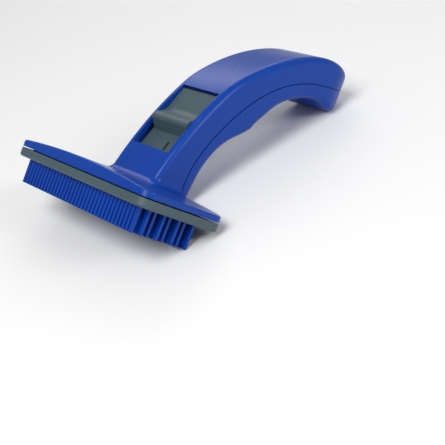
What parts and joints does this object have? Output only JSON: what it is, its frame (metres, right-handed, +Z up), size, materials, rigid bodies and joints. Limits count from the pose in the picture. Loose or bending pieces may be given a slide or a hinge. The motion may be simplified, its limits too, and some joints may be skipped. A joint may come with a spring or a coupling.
{
  "type": "self-cleaning grooming comb",
  "caption": "Pet grooming comb with a wide head of rigid plastic pins on an arched handle; a thumb slider pushes an ejector plate down the pins to clear the hair.",
  "frame": {"origin": "on the table under the middle of the comb as it lies at rest on its rear pin tips and its tail", "axes": "+X along the head, +Y from the head towards the handle's tail, +Z up from the table"},
  "size_m": [0.1, 0.1574, 0.0415],
  "materials": {
    "blue_shell_plastic": "moulded, glossy, lightly textured",
    "blue_pin_plastic": "moulded, glossy",
    "grey_plastic": "moulded, satin",
    "steel": "plain"
  },
  "bodies": {
    "comb": {"base_plate_screws": "steel", "comb_strip_1_left": "blue_pin_plastic", "comb_strip_1_right": "blue_pin_plastic", "comb_strip_2": "blue_pin_plastic", "comb_strip_3": "blue_pin_plastic", "comb_strip_4": "blue_pin_plastic", "comb_strip_5": "blue_pin_plastic", "comb_strip_6": "blue_pin_plastic", "comb_strip_7": "blue_pin_plastic", "comb_strip_8": "blue_pin_plastic", "lower_shell": "blue_shell_plastic", "pin_base_plate": "blue_shell_plastic", "upper_shell": "blue_shell_plastic"},
    "slider": {"slider_carriage": "grey_plastic", "thumb_pad": "grey_plastic", "cross_pin": "steel"},
    "ejector": {"ejector_plate": "grey_plastic"}
  },
  "joints": [
    {"name": "slider_slide", "type": "slide", "parent": "comb", "child": "slider", "axis": [0, -0.923, -0.3848], "range_m": [0, 0.011]},
    {"name": "ejector_slide", "type": "slide", "parent": "comb", "child": "ejector", "axis": [0, -0.698, -0.7161], "range_m": [0, 0.01012]}
  ],
  "couplings": [
    {"joint": "ejector_slide", "follows": "slider_slide", "ratio": 0.91982}
  ]
}
